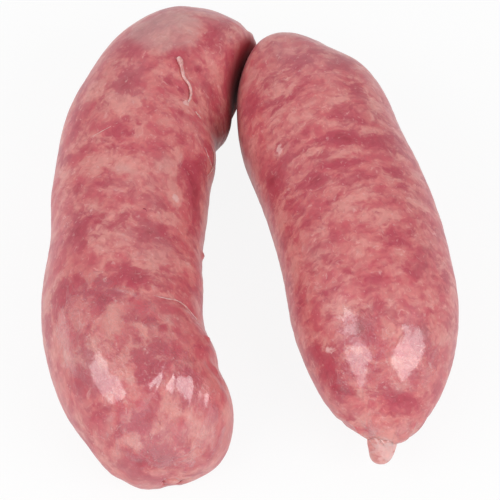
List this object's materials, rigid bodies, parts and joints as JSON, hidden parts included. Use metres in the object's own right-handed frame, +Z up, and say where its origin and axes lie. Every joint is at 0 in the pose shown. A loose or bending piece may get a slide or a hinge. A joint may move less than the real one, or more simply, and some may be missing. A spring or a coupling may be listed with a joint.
{
  "type": "sausage string",
  "caption": "Fresh pork sausage links in one unbroken casing, joined by a twist and lying side by side with their free ends apart.",
  "frame": {"origin": "on the table, under the middle of the string's box", "axes": "+Y along the links towards the twist that joins them, +Z up from the table, +X towards the shorter link"},
  "size_m": [0.0916, 0.1268, 0.0363],
  "materials": {
    "raw_sausage": "moist and softly glossy"
  },
  "bodies": {
    "root": {"sausage_string": "raw_sausage"}
  },
  "joints": []
}
